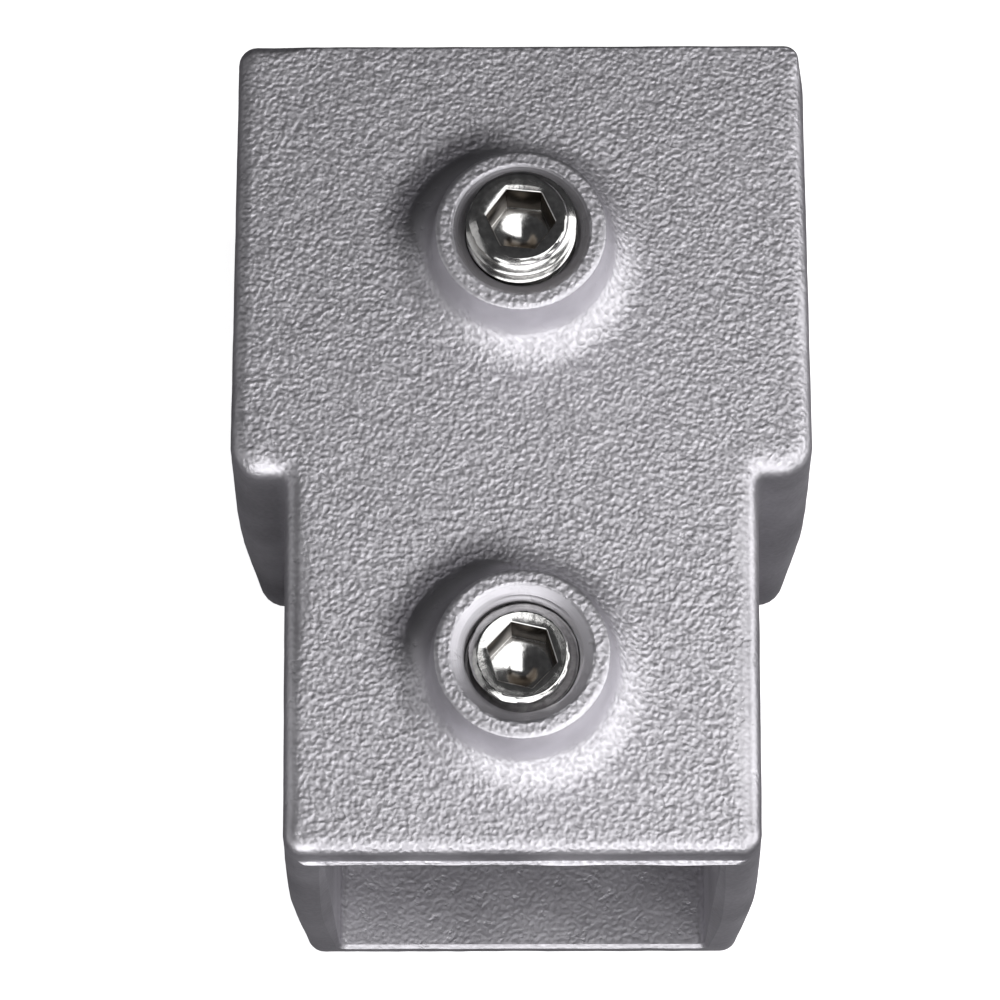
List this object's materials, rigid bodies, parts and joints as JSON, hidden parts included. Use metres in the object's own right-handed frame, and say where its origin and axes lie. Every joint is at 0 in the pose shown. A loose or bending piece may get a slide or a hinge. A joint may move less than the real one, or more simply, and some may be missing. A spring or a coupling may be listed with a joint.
{
  "type": "square tube tee connector",
  "caption": "Short cast tee connector for square tube: a through sleeve with a side stem, each with a raised boss and a socket set screw that grips the tube.",
  "frame": {"origin": "where the axes of the through tube and the stem tube cross, in the casting's parting plane", "axes": "+X along the through tube, -Y the way the stem tube leaves, +Z out of the bossed front face; it lies on its back face"},
  "size_m": [0.0398, 0.0583, 0.0379],
  "materials": {
    "cast_aluminium": "as cast, with a fine pebbled grain",
    "nickel_plated_steel": "bright plated"
  },
  "bodies": {
    "casting": {"tee_casting": "cast_aluminium"},
    "sleeve_screw": {"sleeve_set_screw": "nickel_plated_steel"},
    "stem_screw": {"stem_set_screw": "nickel_plated_steel"}
  },
  "joints": [
    {"name": "sleeve_screw_travel", "type": "slide", "parent": "casting", "child": "sleeve_screw", "axis": [0, 0, 1], "range_m": [-0.0023, 0.0028]},
    {"name": "stem_screw_travel", "type": "slide", "parent": "casting", "child": "stem_screw", "axis": [0, 0, 1], "range_m": [0, 0.0051]}
  ]
}
